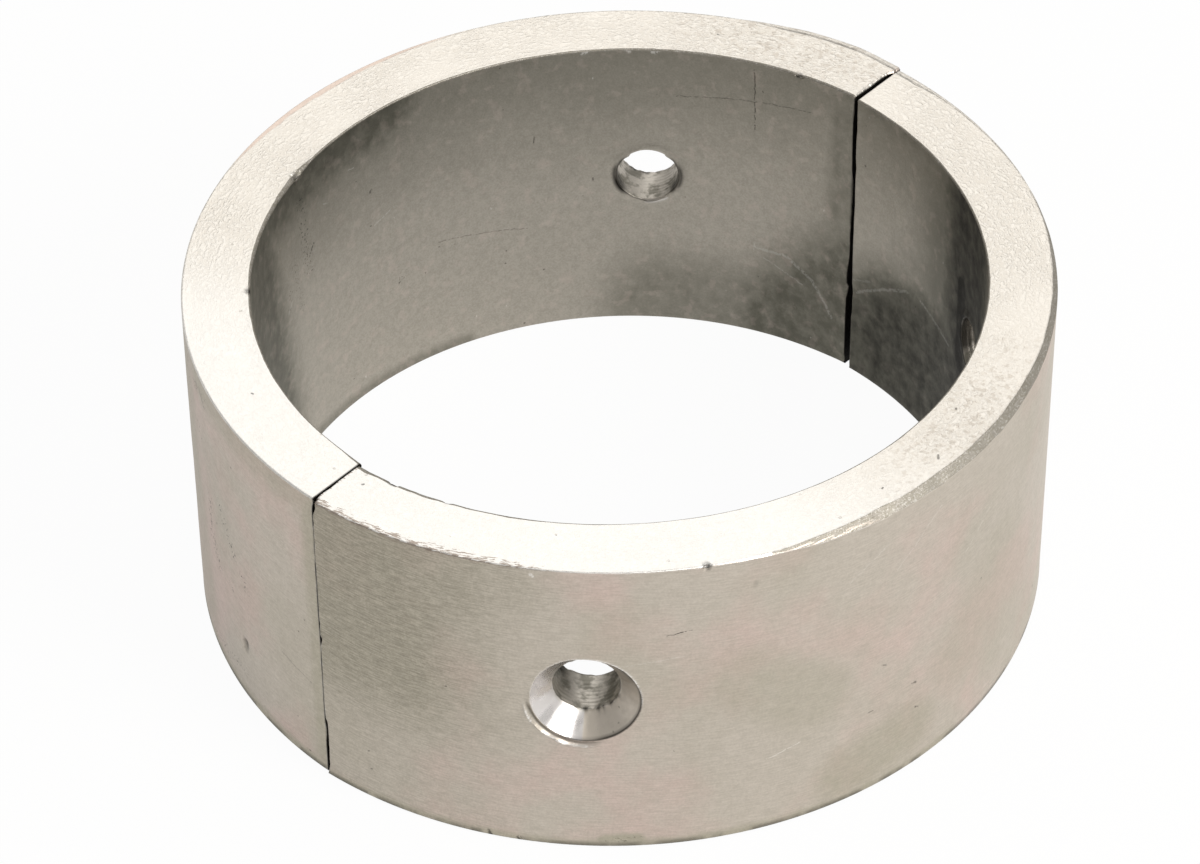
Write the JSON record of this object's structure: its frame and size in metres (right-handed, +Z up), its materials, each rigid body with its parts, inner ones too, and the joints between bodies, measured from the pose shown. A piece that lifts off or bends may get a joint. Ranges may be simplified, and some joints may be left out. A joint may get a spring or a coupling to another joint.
{
  "type": "split collar sacrificial anode",
  "caption": "Split collar zinc anode: half rings with countersunk radial screw holes, which close round a propeller hub to protect it from corrosion.",
  "frame": {"origin": "middle of the bottom face, on the line of the saw cuts", "axes": "+Z up along the collar's axis, X along the saw cuts, -Y towards the middle of the front half"},
  "size_m": [0.1102, 0.1076, 0.0455],
  "materials": {
    "zinc": "cast zinc: pale grainy cast top and bottom, turned satin outer wall, darker grey-brown cast inner wall"
  },
  "bodies": {
    "root": {"front_half": "zinc", "rear_half": "zinc"}
  },
  "joints": []
}
